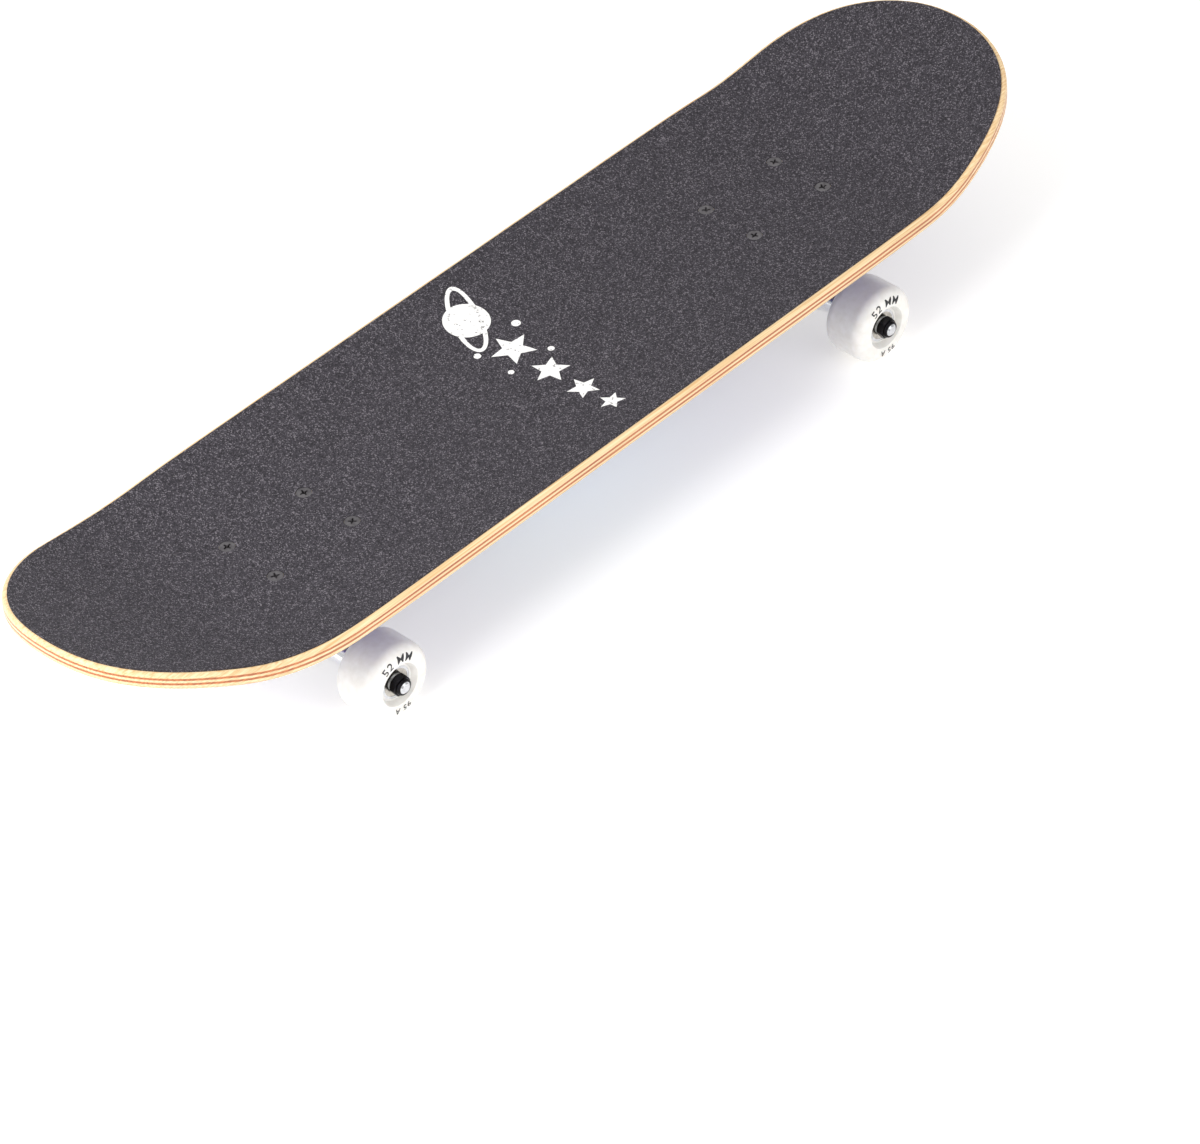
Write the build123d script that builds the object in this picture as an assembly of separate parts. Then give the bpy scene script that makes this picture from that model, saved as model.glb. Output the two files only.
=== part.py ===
from build123d import *
import math
import os

# Skateboard on its wheels. Millimetres, +Z up, +X towards the nose, +Y to the rider's left.
# The origin is on the floor, under the middle of the deck's length and width.

# ---- deck ----
deck_width = 200.0
nose_reach = 392.0  # from halfway between the trucks to the tip of the nose
tail_reach = 402.0  # the same to the tip of the tail
ply_thickness = 1.5
ply_count = 7
deck_edge_top_radius = 2.6
deck_edge_bottom_radius = 2.7
concave_rise = 9.3  # how far the rails stand above the flat middle
concave_flat_half = 30.0
nose_straight = 137.4  # where the nose outline leaves the straight rail
nose_outline_power = 4.84
nose_outline_root = 2.146
nose_kick_start = 253.0
nose_kick_radius = 141.0
nose_kick_angle = 19.2
tail_straight = 173.6
tail_outline_power = 3.42
tail_outline_root = 2.195
tail_kick_start = 243.0
tail_kick_radius = 211.6
tail_kick_angle = 23.4

# ---- grip tape ----
grip_thickness = 0.8
grip_inset = 3.3

# ---- mounting hardware, 10-32 screws ----
truck_spacing = 416.4  # between the centres of the two bolt patterns
pattern_length = 63.5
pattern_width = 41.3
old_pattern_length = 53.98
screw_diameter = 4.8
screw_length = 28.6
screw_head_diameter = 9.5
screw_head_land = 0.5
screw_hole_clearance = 0.7
screw_head_gap = 0.25
cross_recess_width = 1.1
cross_recess_length = 5.4
cross_recess_depth = 2.0
screw_nut_flats = 9.5
screw_nut_height = 6.0
nut_collar_share = 0.3

# ---- riser and baseplate ----
riser_thickness = 3.0
flange_length = 80.0
flange_width = 56.0
flange_thickness = 5.0
flange_corner_radius = 9.0
boss_top_half = 12.8
boss_foot_front = -37.0
boss_foot_back = -2.5
boss_foot_half_width = 14.6
rib_half_width = 6.0
pivot_boss_half_width = 12.5

# ---- kingpin group, stacked along the kingpin from the top of its boss ----
kingpin_x = -19.5
kingpin_z = 21.5
kingpin_tilt = 12.5
kingpin_diameter = 9.5
kingpin_length = 42.7
kingpin_head_flats = 14.0
kingpin_head_top = -11.5
kingpin_head_height = 5.0
kingpin_pocket_gap = 0.4
washer_thickness = 2.0
washer_lip_height = 1.4
washer_lip_width = 0.9
lower_bushing_height = 12.5
lower_bushing_diameter = 24.8
web_thickness = 5.0
upper_bushing_height = 9.5
upper_bushing_diameter = 23.6
upper_bushing_top_diameter = 18.4
kingpin_nut_flats = 14.3
kingpin_nut_height = 8.0

# ---- hanger ----
truck_height = 48.0  # underside of the baseplate to the axle
axle_offset = 7.5  # how far the axle stands outboard of the bolt pattern's centre
hanger_width = 129.0
beam_middle_radius = 10.2
beam_middle_half = 22.0
beam_end_radius = 8.4
ring_radius = 17.5
ring_bore_clearance = 1.45  # room for the hanger to rock round the kingpin
ring_wall_rise = 3.5
wing_half_width = 52.0
pocket_radius = 14.2
pocket_back = 11.0
pocket_back_half = 17.5
pocket_corner = 5.0
pocket_draft = 6.0
bushing_room = 2.4
gusset_half_width = 3.5
steer_angle = 32.0  # slope of the steering axis
mouth_distance = 37.1  # ring centre to the mouth of the pivot cup
stem_radius = 4.6
stem_depth = 4.0
arm_radius = 8.0
arm_start = 16.0
arm_end = 24.0

# ---- pivot cup ----
cup_radius = 7.5
cup_length = 11.5
pivot_boss_wall = 3.0

# ---- wheels, bearings and axles ----
wheel_diameter = 52.0
wheel_width = 31.5
shoulder_radius = 7.5
recess_mouth_radius = 14.5
bearing_lip = 1.2  # the flat between the bearing's edge and the wall of the recess
core_bore_radius = 9.0
axle_diameter = 8.0
axle_length = 196.0
speed_washer_thickness = 0.8
bearing_outer_diameter = 22.0
bearing_width = 7.0
inner_ring_outer_radius = 5.95
outer_ring_inner_radius = 9.05
ball_count = 7
ball_radius = 1.9
groove_clearance = 0.085
cage_inner_radius = 7.0
cage_outer_radius = 8.0
cage_half_width = 2.3
shield_thickness = 0.35
shield_inset = 0.15
shield_gap = 0.3
shield_step_radius = 9.4
spacer_length = 10.0
axle_nut_flats = 12.7
axle_nut_height = 7.0
running_gap = 0.05

# ---- worked out from the sizes above ----
deck_thickness = ply_thickness * ply_count
deck_bottom = wheel_diameter / 2 + truck_height + riser_thickness
middle_x = (tail_reach - nose_reach) / 2
axle_depth = truck_height + riser_thickness
flange_top = riser_thickness + flange_thickness
tilt = math.radians(kingpin_tilt)
screw_hole_diameter = screw_diameter + screw_hole_clearance
ring_bore_radius = kingpin_diameter / 2 + ring_bore_clearance
recess_floor_radius = bearing_outer_diameter / 2 + bearing_lip
groove_radius = ball_radius + groove_clearance
lower_bushing_base = washer_thickness
web_base = lower_bushing_base + lower_bushing_height
web_top = web_base + web_thickness
upper_washer_base = web_top + upper_bushing_height
kingpin_nut_base = upper_washer_base + washer_thickness
bearing_pitch_radius = (inner_ring_outer_radius + outer_ring_inner_radius) / 2
bearing_start = hanger_width / 2 + speed_washer_thickness
wheel_face_in = bearing_start + bearing_width + spacer_length / 2 - wheel_width / 2
outer_bearing_start = bearing_start + bearing_width + spacer_length
stack_end = outer_bearing_start + bearing_width

# Each truck is drawn once, looking down at the upturned board: X outboard, Z away from the deck.
nose_frame = Plane(
    origin=(middle_x + truck_spacing / 2, 0, deck_bottom),
    x_dir=(1, 0, 0),
    z_dir=(0, 0, -1),
)
tail_frame = Plane(
    origin=(middle_x - truck_spacing / 2, 0, deck_bottom),
    x_dir=(-1, 0, 0),
    z_dir=(0, 0, -1),
)
truck_frames = {"nose": nose_frame, "tail": tail_frame}
# +1 where the truck's own +Y points to the rider's left.
side_sign = {"nose": -1, "tail": 1}

# The kingpin's frame: Z along the kingpin, X across it and outboard.
kingpin_frame = Plane(
    origin=(kingpin_x, 0, kingpin_z),
    x_dir=(math.cos(tilt), 0, -math.sin(tilt)),
    z_dir=(math.sin(tilt), 0, math.cos(tilt)),
)
ring_middle = (web_base + web_top) / 2
ring_centre = Vector(
    kingpin_x + ring_middle * math.sin(tilt),
    0,
    kingpin_z + ring_middle * math.cos(tilt),
)
slope = math.radians(steer_angle)
to_pivot = Vector(math.cos(slope), 0, -math.sin(slope))
# The pivot's frame: Z along the steering axis, from the cup's mouth into the cup.
pivot_frame = Plane(
    origin=ring_centre + to_pivot * mouth_distance,
    x_dir=(0, 1, 0),
    z_dir=to_pivot,
)


# ---------------------------------------------------------------- deck
def kick_height(run, start, radius, angle):
    """Rise of a kicktail: a circular bend, then a straight slope."""
    run = run - start
    if run <= 0:
        return 0.0
    lean = math.radians(angle)
    bend = radius * math.sin(lean)
    if run < bend:
        return radius - math.sqrt(radius * radius - run * run)
    return radius * (1 - math.cos(lean)) + (run - bend) * math.tan(lean)


def deck_underside(x, y):
    """Height of the pressed board's underside above the floor."""
    run = x - middle_x
    if run > 0:
        kick = kick_height(run, nose_kick_start, nose_kick_radius, nose_kick_angle)
    else:
        kick = kick_height(-run, tail_kick_start, tail_kick_radius, tail_kick_angle)
    side = max(0.0, abs(y) - concave_flat_half) / (deck_width / 2 - concave_flat_half)
    return deck_bottom + kick + concave_rise * side * side


def level_height(x, y, depth):
    """Height of the surface that lies depth above the underside, measured square to it."""
    step = 0.5
    slope_x = (deck_underside(x + step, y) - deck_underside(x - step, y)) / (2 * step)
    slope_y = (deck_underside(x, y + step) - deck_underside(x, y - step)) / (2 * step)
    return deck_underside(x, y) + depth * math.sqrt(1 + slope_x**2 + slope_y**2)


def level_surface(depth):
    """One smooth pressed surface, a little larger than the deck."""
    step_x = 10.0
    step_y = 8.0
    columns = math.ceil((max(nose_reach, tail_reach) + 16) / step_x)
    rows = math.ceil((deck_width / 2 + 8) / step_y)
    points = []
    for i in range(-columns, columns + 1):
        x = i * step_x
        row = [(x, j * step_y, level_height(x, j * step_y, depth)) for j in range(-rows, rows + 1)]
        points.append(row)
    return Face.make_surface_from_array_of_points(points, tol=0.02, min_deg=3, max_deg=5)


def end_outline(sign, reach, straight, power, root, inset):
    """The rounded nose or tail, as one curve from rail to rail."""
    steps = 24
    half = deck_width / 2 - inset
    points = []
    for i in range(-steps, steps + 1):
        turn = math.pi / 2 * (1 - abs(i) / steps)
        along = (math.sin(turn) ** 2) ** (1 / power)
        across = half * (math.cos(turn) ** 2) ** (1 / root) if i else 0.0
        x = middle_x + sign * (straight + along * (reach - inset - straight))
        points.append(Vector(x, math.copysign(across, -i * sign)))
    ends = [Vector(sign, 0, 0), Vector(-sign, 0, 0)]
    return Edge.make_spline(points, tangents=ends)


def deck_outline(inset):
    """The board's plan shape, flat on the floor."""
    nose = end_outline(1, nose_reach, nose_straight, nose_outline_power, nose_outline_root, inset)
    tail = end_outline(-1, tail_reach, tail_straight, tail_outline_power, tail_outline_root, inset)
    rail_a = Edge.make_line(nose @ 1, tail @ 0)
    rail_b = Edge.make_line(tail @ 1, nose @ 0)
    return Face(Wire([nose, rail_a, tail, rail_b]))


def between_levels(outline, low, high):
    """A slab with the given plan shape between two pressed surfaces."""
    column = extrude(outline.moved(Location((0, 0, deck_bottom - 20))), amount=120, dir=(0, 0, 1))
    upper_part = max(column.split(level_surface(low), Keep.ALL), key=lambda s: s.center().Z)
    return min(upper_part.split(level_surface(high), Keep.ALL), key=lambda s: s.center().Z)


def broad_face(solid, top):
    """The upper or the lower of a slab's two broad faces."""
    pair = sorted(solid.faces(), key=lambda f: -f.area)[:2]
    pick = max if top else min
    return pick(pair, key=lambda f: f.center().Z)


def screw_points():
    """Where the eight screws pass through the deck."""
    points = []
    for frame in truck_frames.values():
        for x in (-pattern_length / 2, pattern_length / 2):
            for y in (-pattern_width / 2, pattern_width / 2):
                points.append((frame.origin.X + x, y))
    return points


def screw_hole():
    """One drilled and countersunk hole. The countersink runs on upwards, clear of the deck."""
    bottom = deck_bottom - 10
    top = deck_bottom + deck_thickness
    low = screw_hole_diameter / 2
    high = screw_head_diameter / 2 + running_gap
    sink = high - low
    rise = 3.0
    bore_line = [(0, bottom), (low, bottom), (low, top - sink)]
    sink_line = [(high + rise, top + rise), (0, top + rise), (0, bottom)]
    return revolve(Plane.XZ * make_face(Polyline(bore_line + sink_line)), Axis.Z)


def deck_plies():
    """Seven veneers pressed together, with the rim rounded over and the screw holes drilled."""
    board = between_levels(deck_outline(0.0), 0.0, deck_thickness)
    board = board.fillet(deck_edge_bottom_radius, broad_face(board, False).edges())
    board = board.fillet(deck_edge_top_radius, broad_face(board, True).edges())
    for x, y in screw_points():
        board = board - Pos(x, y, 0) * screw_hole()
    plies = []
    rest = board.solid()
    for k in range(1, ply_count):
        halves = rest.split(level_surface(k * ply_thickness), Keep.ALL)
        parts = sorted(halves, key=lambda solid: solid.center().Z)
        plies.append(parts[0])
        rest = parts[-1]
    plies.append(rest)
    return plies


def grip_tape():
    """The abrasive sheet on the riding face, with clearance round the screw heads."""
    sheet = between_levels(deck_outline(grip_inset), deck_thickness, deck_thickness + grip_thickness)
    hole = Cylinder(screw_head_diameter / 2 + screw_head_gap, 60)
    return sheet - [Pos(x, y, deck_bottom) * hole for x, y in screw_points()]


# ---------------------------------------------------------------- fasteners
def hex_prism(flats, height):
    """A hexagonal bar that stands on its lower face, with its two ends chamfered round."""
    across_corners = flats / math.cos(math.pi / 6)
    bar = extrude(RegularPolygon(across_corners / 2, 6), amount=height)
    dome = Pos(0, 0, height / 2) * Cylinder(across_corners / 2 - 0.15, height)
    dome = chamfer(dome.edges().filter_by(GeomType.CIRCLE), 0.08 * flats)
    return bar & dome


def lock_nut(flats, height, bore):
    """A lock nut: a hexagon with a round collar that holds the nylon ring."""
    collar = height * nut_collar_share
    body = hex_prism(flats, height - collar)
    cap = Pos(0, 0, height - collar / 2) * Cylinder(flats * 0.44, collar)
    cap = fillet(cap.edges().group_by(Axis.Z)[-1], collar * 0.55)
    return body + cap - Pos(0, 0, height / 2) * Cylinder(bore / 2, height * 2)


def mounting_bolt():
    """A countersunk cross-head machine screw, head upwards, with its shank hanging below."""
    cone_depth = (screw_head_diameter - screw_diameter) / 2
    land = Pos(0, 0, -screw_head_land / 2) * Cylinder(screw_head_diameter / 2, screw_head_land)
    cone = Cone(screw_diameter / 2, screw_head_diameter / 2, cone_depth)
    head = land + Pos(0, 0, -screw_head_land - cone_depth / 2) * cone
    shank = Pos(0, 0, -screw_length / 2 - 1) * Cylinder(screw_diameter / 2, screw_length - 2)
    shank = chamfer(shank.edges().group_by(Axis.Z)[0], 0.6)
    slot = Box(cross_recess_length, cross_recess_width, cross_recess_depth)
    slot = Pos(0, 0, -cross_recess_depth / 2) * slot
    recess = slot + Rot(0, 0, 90) * slot
    core = Pos(0, 0, -cross_recess_depth / 2) * Cone(0.6, 1.4, cross_recess_depth)
    return head + shank - recess - core


def mounting_bolts():
    """The eight screws, heads level with the grip tape."""
    top = deck_bottom + deck_thickness + screw_head_land
    spins = (12, 47, 71, 28, 63, 5, 38, 80)
    bolt = mounting_bolt()
    return [Pos(x, y, top) * Rot(0, 0, spin) * bolt for (x, y), spin in zip(screw_points(), spins)]


def mounting_nuts():
    """The eight lock nuts, seated on the baseplate flanges."""
    nut = lock_nut(screw_nut_flats, screw_nut_height, screw_diameter)
    spins = (8, 33, 50, 17, 41, 26, 3, 55)
    seat = deck_bottom - flange_top
    return [Pos(x, y, seat) * Rot(180, 0, spin) * nut for (x, y), spin in zip(screw_points(), spins)]


# ---------------------------------------------------------------- riser and baseplate
def flange_holes(height):
    """Six screw holes: the outer rows and the older, shorter pattern."""
    columns = (-pattern_length / 2, pattern_length / 2, old_pattern_length - pattern_length / 2)
    holes = []
    for x in columns:
        for y in (-pattern_width / 2, pattern_width / 2):
            holes.append(Pos(x, y, height / 2) * Cylinder(screw_hole_diameter / 2, height * 2))
    return holes


def riser_pad():
    """The thin rubber pad between deck and baseplate."""
    outline = RectangleRounded(flange_length, flange_width, flange_corner_radius)
    pad = extrude(outline, amount=riser_thickness)
    return pad - flange_holes(riser_thickness)


def kingpin_boss():
    """The tapered block that holds the kingpin, square to the kingpin at its top."""
    foot_length = boss_foot_back - boss_foot_front
    foot_x = (boss_foot_back + boss_foot_front) / 2
    foot = RectangleRounded(foot_length, 2 * boss_foot_half_width, 3.0)
    foot = Plane(origin=(foot_x, 0, flange_top - 1)) * foot
    top = kingpin_frame * RectangleRounded(2 * boss_top_half, 2 * boss_top_half, 5.0)
    return loft([foot.face(), top.face()])


def side_prism(points, half_width):
    """A block with the given outline seen from the side, centred across the truck."""
    outline = Plane.XZ * make_face(Polyline(points + [points[0]]))
    return extrude(outline, amount=half_width, both=True)


def pivot_boss():
    """The block that holds the pivot cup, with its mouth square to the steering axis."""
    reach = cup_radius + pivot_boss_wall
    mouth = pivot_frame.origin
    up = Vector(math.sin(slope), 0, math.cos(slope))
    top = mouth + up * reach
    shoulder = top + to_pivot * 6.4
    heel = mouth - up * (reach - 1.0)
    points = [
        (heel.X, flange_top - 1),
        (heel.X, heel.Z),
        (top.X, top.Z),
        (shoulder.X, shoulder.Z),
        (flange_length / 2 - 4, flange_top),
        (flange_length / 2 - 4, flange_top - 1),
    ]
    block = side_prism(points, pivot_boss_half_width)
    return fillet(block.edges().filter_by(Axis.Y).group_by(Axis.Z)[-1], 2.5)


def rib():
    """The ridge that joins the two bosses along the middle of the baseplate."""
    points = [
        (boss_foot_back - 8, flange_top - 1),
        (boss_foot_back - 8, flange_top + 9),
        (boss_foot_back + 3, flange_top + 4),
        (10, flange_top + 2.5),
        (16, flange_top + 3),
        (16, flange_top - 1),
    ]
    return side_prism(points, rib_half_width)


def baseplate():
    """The cast baseplate: flange, kingpin boss, pivot boss and rib."""
    flange = RectangleRounded(flange_length, flange_width, flange_corner_radius)
    plate = Pos(0, 0, riser_thickness) * extrude(flange, amount=flange_thickness)
    plate = chamfer(plate.edges().group_by(Axis.Z)[-1], 1.0)
    plate = plate + kingpin_boss() + pivot_boss() + rib()
    shaft = Pos(0, 0, 0) * Cylinder(kingpin_diameter / 2, 80)
    pocket_radius_here = kingpin_head_flats / 2 / math.cos(math.pi / 6) + kingpin_pocket_gap
    pocket = Pos(0, 0, kingpin_head_top - 20) * Cylinder(pocket_radius_here, 40)
    cup_hole = Pos(0, 0, cup_length - 20) * Cylinder(cup_radius, 40)
    plate = plate - kingpin_frame * shaft - kingpin_frame * pocket
    return plate - pivot_frame * cup_hole - flange_holes(40)


def pivot_cup():
    """The plastic cup pressed into the baseplate, round inside for the pivot to turn in."""
    bore = stem_radius + running_gap
    body = Pos(0, 0, cup_length / 2) * Cylinder(cup_radius, cup_length)
    way = Pos(0, 0, stem_depth / 2 - 5) * Cylinder(bore, stem_depth + 10)
    seat = Pos(0, 0, stem_depth) * Sphere(bore)
    return pivot_frame * (body - way - seat)


# ---------------------------------------------------------------- kingpin group
def kingpin():
    """The kingpin, pushed through the baseplate from the deck side, its head in the pocket."""
    shaft_length = kingpin_length - kingpin_head_top
    shaft = Cylinder(kingpin_diameter / 2, shaft_length)
    shaft = Pos(0, 0, kingpin_head_top + shaft_length / 2) * shaft
    shaft = chamfer(shaft.edges().group_by(Axis.Z)[-1], 1.2)
    head = hex_prism(kingpin_head_flats, kingpin_head_height)
    head = Pos(0, 0, kingpin_head_top - kingpin_head_height) * head
    return kingpin_frame * (shaft + head)


def ring_part(points):
    """A turned part: an outline of radius and height, turned about the kingpin."""
    outline = Plane.XZ * make_face(Polyline(points + [points[0]]))
    return kingpin_frame * revolve(outline, Axis.Z)


def cup_washer(base, bushing_diameter, lip):
    """A pressed steel washer whose lip, towards lip, keeps the bushing centred."""
    inner = bushing_diameter / 2 + 0.1
    outer = inner + washer_lip_width
    bore = kingpin_diameter / 2
    face = base + (washer_thickness if lip > 0 else 0)
    back = base + (0 if lip > 0 else washer_thickness)
    rim = face + lip * washer_lip_height
    edge = back + lip * 0.6
    back_line = [(bore, back), (outer - 0.6, back), (outer, edge)]
    lip_line = [(outer, rim), (inner, rim), (inner, face), (bore, face)]
    return ring_part(back_line + lip_line)


def lower_washer():
    """The cup washer that sits on the baseplate's boss."""
    return cup_washer(0.0, lower_bushing_diameter, 1)


def upper_washer():
    """The smaller cup washer under the kingpin nut."""
    return cup_washer(upper_washer_base, upper_bushing_top_diameter, -1)


def lower_bushing():
    """The barrel-shaped urethane bushing below the hanger's ring."""
    outer = lower_bushing_diameter / 2
    low = lower_bushing_base
    high = web_base
    bore = kingpin_diameter / 2
    bevel = 1.2
    low_line = [(bore, low), (outer - 0.3, low), (outer, low + bevel)]
    high_line = [(outer, high - bevel), (outer - bevel, high), (bore, high)]
    return ring_part(low_line + high_line)


def upper_bushing():
    """The cone-shaped urethane bushing above the hanger's ring."""
    wide = upper_bushing_diameter / 2
    narrow = upper_bushing_top_diameter / 2
    bore = kingpin_diameter / 2
    low = web_top
    high = upper_washer_base
    low_line = [(bore, low), (wide - 1.0, low), (wide, low + 1.2), (wide, low + 2.6)]
    high_line = [(narrow, high - 1.0), (narrow, high), (bore, high)]
    return ring_part(low_line + high_line)


def kingpin_nut():
    """The lock nut that sets how freely the truck steers."""
    nut = lock_nut(kingpin_nut_flats, kingpin_nut_height, kingpin_diameter)
    return kingpin_frame * Pos(0, 0, kingpin_nut_base) * nut


# ---------------------------------------------------------------- hanger
def axle_axis_frame():
    """A frame whose Z runs along the axle."""
    return Plane(origin=(axle_offset, 0, axle_depth), x_dir=(1, 0, 0), z_dir=(0, 1, 0))


def hanger_beam():
    """The tapered bar round the axle."""
    half = hanger_width / 2
    shape = [
        (0, -half),
        (beam_end_radius, -half),
        (beam_middle_radius, -beam_middle_half),
        (beam_middle_radius, beam_middle_half),
        (beam_end_radius, half),
        (0, half),
    ]
    outline = Plane.XZ * make_face(Polyline(shape + [shape[0]]))
    return axle_axis_frame() * revolve(outline, Axis.Z)


def wing_plan():
    """Plan of the casting between axle and kingpin: a ring that flares into two wings."""
    start_turn = math.radians(118)
    join = Vector(
        ring_centre.X + ring_radius * math.cos(start_turn),
        ring_radius * math.sin(start_turn),
    )
    tip = Vector(axle_offset - 4.5, wing_half_width)
    front = Vector(ring_centre.X - ring_radius, 0)
    flare = Edge.make_spline([tip, join], tangents=[Vector(-0.35, -1), Vector(-0.883, -0.469)])
    nose = Edge.make_three_point_arc(join, front, Vector(join.X, -join.Y))
    other = flare.mirror(Plane.XZ)
    back_x = axle_offset + 2.5
    side_a = Edge.make_line(Vector(back_x, tip.Y), tip)
    side_b = Edge.make_line(Vector(tip.X, -tip.Y), Vector(back_x, -tip.Y))
    back = Edge.make_line(Vector(back_x, -tip.Y), Vector(back_x, tip.Y))
    return Face(Wire([side_a, flare, nose, other, side_b, back]))


def kingpin_point(across, along):
    """A point in the truck's side view, given across and along the kingpin."""
    x = kingpin_x + across * math.cos(tilt) + along * math.sin(tilt)
    z = kingpin_z - across * math.sin(tilt) + along * math.cos(tilt)
    return (x, z)


def wing():
    """The casting between axle and kingpin, sloping up from the ring to the axle."""
    points = [
        kingpin_point(-ring_radius - 3, web_base),
        kingpin_point(-ring_radius - 3, web_top + ring_wall_rise),
        (axle_offset - 5.5, axle_depth + 7.0),
        (axle_offset + 1.5, axle_depth + 7.0),
        (axle_offset + 4.5, axle_depth - 5.0),
        (axle_offset + 0.5, axle_depth - 9.0),
        kingpin_point(ring_radius - 3.5, web_base),
    ]
    column = extrude(wing_plan(), amount=100, dir=(0, 0, 1))
    return column & side_prism(points, 80)


def pocket():
    """The open pocket round the bushing and nut, with drafted walls."""
    turn = math.radians(60)
    join = Vector(-pocket_radius * math.cos(turn), pocket_radius * math.sin(turn))
    shoulder = Vector(pocket_back * 0.4, pocket_back_half)
    corner = Vector(pocket_back, pocket_back_half - pocket_corner)
    flank = Edge.make_spline([join, shoulder], tangents=[Vector(0.866, 0.5), Vector(0.96, 0.28)])
    bend = Edge.make_spline([shoulder, corner], tangents=[Vector(0.96, 0.28), Vector(0, -1)])
    front = Edge.make_three_point_arc(Vector(join.X, -join.Y), Vector(-pocket_radius, 0), join)
    back = Edge.make_line(corner, Vector(corner.X, -corner.Y))
    rim = Wire([front, flank, bend, back, bend.mirror(Plane.XZ), flank.mirror(Plane.XZ)])
    hollow = extrude(Face(rim), amount=40, dir=(0, 0, 1), taper=-pocket_draft)
    return kingpin_frame * Pos(0, 0, web_top) * hollow


def pivot_arm():
    """The tapered arm that ends in the round pivot, along the steering axis."""
    start = arm_start - mouth_distance
    waist = arm_end - mouth_distance
    tip = stem_depth
    shape = [
        (0, start),
        (arm_radius + 0.5, start),
        (arm_radius, waist),
        (stem_radius, -1.6),
        (stem_radius, tip),
        (0, tip),
    ]
    outline = Plane.XZ * make_face(Polyline(shape + [shape[0]]))
    arm = revolve(outline, Axis.Z) + Pos(0, 0, tip) * Sphere(stem_radius)
    return pivot_frame * arm


def gusset():
    """The thin web that stiffens the pivot arm against the beam."""
    low = ring_centre + to_pivot * 30
    points = [
        kingpin_point(ring_radius - 7.5, web_base + 1.0),
        (axle_offset, axle_depth - 3.0),
        (axle_offset + 7.0, axle_depth - 5.0),
        (axle_offset + 5.6, axle_depth - 13.0),
        (axle_offset + 5.8, axle_depth - 21.0),
        (low.X, low.Z),
    ]
    return side_prism(points, gusset_half_width)


def hanger():
    """The hanger casting, bored for the axle and the kingpin."""
    casting = hanger_beam() + wing() + pivot_arm() + gusset()
    room = lower_bushing_diameter / 2 + bushing_room
    clearance = kingpin_frame * Pos(0, 0, web_base - 20) * Cylinder(room, 40)
    bore = kingpin_frame * Cylinder(ring_bore_radius, 160)
    upper = kingpin_frame * Pos(0, 0, web_top + 20) * Cylinder(upper_bushing_diameter / 2 + 1.2, 40)
    axle_bore = axle_axis_frame() * Cylinder(axle_diameter / 2, hanger_width + 20)
    return casting - pocket() - clearance - upper - bore - axle_bore


# ---------------------------------------------------------------- axle and what is threaded on it
def along_axle(shape, start):
    """Puts a part drawn from zero upwards at a distance out along the axle."""
    return axle_axis_frame() * Pos(0, 0, start) * shape


def both_ways(shape, start):
    """The same part on both ends of the axle, mirrored across the truck."""
    one = along_axle(shape, start)
    return [one, one.mirror(Plane.XZ)]


def tube(outer, inner, length):
    """A plain ring that stands on zero."""
    ring = Circle(outer) - Circle(inner)
    return extrude(ring, amount=length)


def axle():
    """The steel axle cast into the hanger, threaded at both ends."""
    rod = chamfer(Cylinder(axle_diameter / 2, axle_length).edges(), 1.0)
    return axle_axis_frame() * rod


def speed_washers():
    """Thin washers on both sides of each wheel."""
    washer = tube(inner_ring_outer_radius, axle_diameter / 2, speed_washer_thickness)
    return both_ways(washer, hanger_width / 2) + both_ways(washer, stack_end)


def axle_nuts():
    """The lock nuts that hold the wheels on."""
    nut = lock_nut(axle_nut_flats, axle_nut_height, axle_diameter)
    return both_ways(nut, stack_end + speed_washer_thickness)


def bearing_spacers():
    """The tubes that keep each wheel's two bearings apart."""
    spacer = tube(inner_ring_outer_radius - 0.35, axle_diameter / 2, spacer_length)
    return both_ways(spacer, bearing_start + bearing_width)


# ---------------------------------------------------------------- bearings
def ball_track():
    """The groove both rings are ground with."""
    return Pos(0, 0, bearing_width / 2) * Torus(bearing_pitch_radius, groove_radius)


def inner_ring():
    """A bearing's inner ring."""
    ring = tube(inner_ring_outer_radius, axle_diameter / 2, bearing_width)
    rims = ring.edges().filter_by(GeomType.CIRCLE)
    return chamfer(rims.filter_by(lambda e: e.radius > axle_diameter / 2 + 0.5), 0.25) - ball_track()


def outer_ring():
    """A bearing's outer ring, stepped inside for the shields."""
    ring = tube(bearing_outer_diameter / 2, outer_ring_inner_radius, bearing_width)
    step = shield_thickness + shield_inset
    low_step = Pos(0, 0, step / 2) * Cylinder(shield_step_radius, step)
    high_step = Pos(0, 0, bearing_width - step / 2) * Cylinder(shield_step_radius, step)
    return ring - low_step - high_step - ball_track()


def shield(start):
    """A pressed shield that closes one side of a bearing."""
    inner = inner_ring_outer_radius + shield_gap
    return Pos(0, 0, start) * tube(shield_step_radius, inner, shield_thickness)


def balls():
    """One bearing's ring of balls."""
    step = 360 / ball_count
    ball = Pos(bearing_pitch_radius, 0, bearing_width / 2) * Sphere(ball_radius)
    return [Rot(0, 0, i * step) * ball for i in range(ball_count)]


def cage():
    """The ribbon that spaces the balls."""
    band = tube(cage_outer_radius, cage_inner_radius, 2 * cage_half_width)
    band = Pos(0, 0, bearing_width / 2 - cage_half_width) * band
    room = Rot(0, 90, 0) * Cylinder(ball_radius + running_gap, 4)
    room = Pos(bearing_pitch_radius, 0, bearing_width / 2) * room
    step = 360 / ball_count
    return band - [Rot(0, 0, i * step) * room for i in range(ball_count)]


def in_both_bearings(shape):
    """The same part in the inner and the outer bearing of one wheel, on the truck's +Y side."""
    return [along_axle(shape, bearing_start), along_axle(shape, outer_bearing_start)]


def bearing_inner_rings():
    """The four inner rings on one axle."""
    ring = inner_ring()
    return both_ways(ring, bearing_start) + both_ways(ring, outer_bearing_start)


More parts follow.
